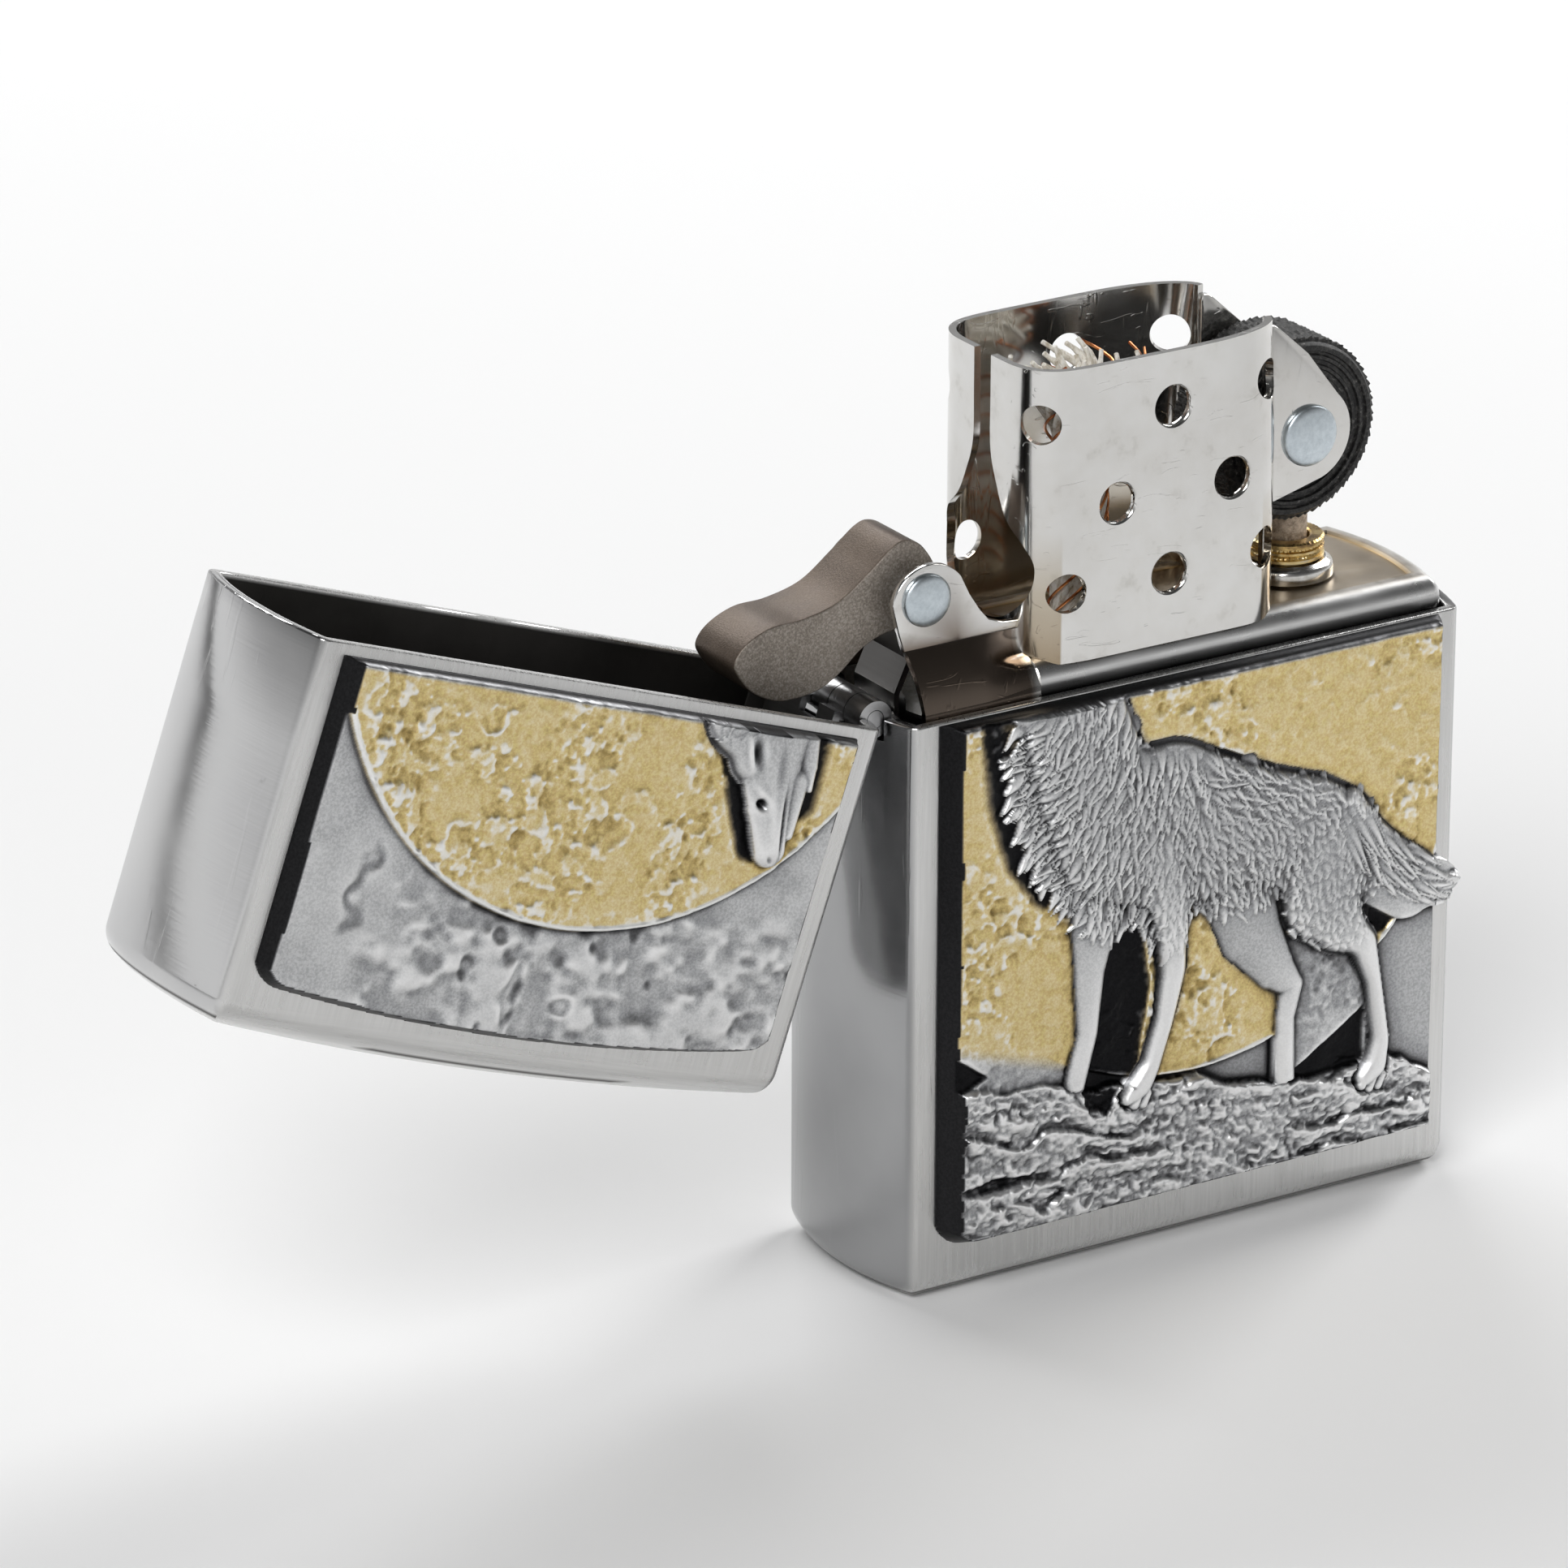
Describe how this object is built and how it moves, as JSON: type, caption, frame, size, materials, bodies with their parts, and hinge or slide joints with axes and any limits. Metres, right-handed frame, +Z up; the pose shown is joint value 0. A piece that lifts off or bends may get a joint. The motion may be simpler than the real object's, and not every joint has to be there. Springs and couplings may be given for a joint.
{
  "type": "flip-top petrol lighter",
  "caption": "Pocket petrol lighter with a hinged flip lid, lift-out insert, perforated windshield, spark wheel and a cast relief emblem.",
  "frame": {"origin": "middle of the case's flat base", "axes": "+Z up out of the case, hinge on the -X side, emblem on the -Y face"},
  "size_m": [0.081, 0.0144, 0.0522],
  "materials": {
    "case_chrome": "satin bright plate on brass, fine vertical brush marks and handling scratches",
    "hinge_steel": "plain bright steel",
    "emblem_metal": "antiqued pewter casting, dark in its hollows, with a gold-washed moon",
    "insert_steel": "polished stainless sheet with heat tint and light scratches",
    "spring_steel": "plain spring steel",
    "rivet_zinc": "bright zinc plate, faintly blue",
    "tube_brass": "brass, heat tinted at its rim",
    "collar_nickel": "bright nickel ring",
    "wick_cotton": "twisted cotton with a frayed top",
    "wire_copper": "fine copper wire",
    "packing_cotton": "soft cotton wads",
    "pad_felt": "pressed felt",
    "cam_sintered": "sintered steel, speckled sandy sides and dark brown top",
    "wheel_steel": "blackened hardened steel with file-cut teeth",
    "flint_alloy": "worn ferrocerium"
  },
  "bodies": {
    "case": {"case_body": "case_chrome", "case_hinge_leaf": "hinge_steel", "hinge_pin": "hinge_steel", "case_emblem": "emblem_metal"},
    "lid": {"lid_shell": "case_chrome", "lid_hinge_leaf": "hinge_steel", "lid_emblem": "emblem_metal"},
    "insert": {"fuel_can": "insert_steel", "windshield": "insert_steel", "cam_spring": "spring_steel", "cam_spring_rivet": "rivet_zinc", "cam_rivet": "rivet_zinc", "wheel_rivet": "rivet_zinc", "flint_tube": "tube_brass", "tube_collar": "collar_nickel", "wick": "wick_cotton", "wick_wire": "wire_copper", "cotton_packing": "packing_cotton", "felt_pad": "pad_felt", "flint_spring": "spring_steel"},
    "cam": {"cam_lever": "cam_sintered"},
    "wheel": {"spark_wheel": "wheel_steel"},
    "feed": {"flint": "flint_alloy", "flint_plunger": "tube_brass"},
    "screw": {"flint_screw": "tube_brass"}
  },
  "joints": [
    {"name": "lid_hinge", "type": "hinge", "parent": "case", "child": "lid", "pos_m": [-0.0191, 0, 0.03405], "axis": [0, -1, 0], "range_deg": [-160.6, 0]},
    {"name": "insert_lift", "type": "slide", "parent": "case", "child": "insert", "axis": [0, 0, 1], "range_m": [0, 0.034]},
    {"name": "cam_pivot", "type": "hinge", "parent": "insert", "child": "cam", "pos_m": [-0.0156, 0, 0.0401], "axis": [0, -1, 0], "range_deg": [-112, 0]},
    {"name": "wheel_spin", "type": "hinge", "parent": "insert", "child": "wheel", "pos_m": [0.0095, 0, 0.04485], "axis": [0, 1, 0], "continuous": true},
    {"name": "flint_feed", "type": "slide", "parent": "insert", "child": "feed", "axis": [0, 0, 1], "range_m": [-0.003, 0], "stiffness_N_per_m": 150, "springref_m": 0.01, "deforming": ["flint_spring"]},
    {"name": "flint_screw_turn", "type": "hinge", "parent": "insert", "child": "screw", "pos_m": [0.0105, 0, 0.003], "axis": [0, 0, 1], "continuous": true}
  ],
  "couplings": [
    {"joint": "cam_pivot", "follows": "lid_hinge", "ratio": 0.697}
  ]
}
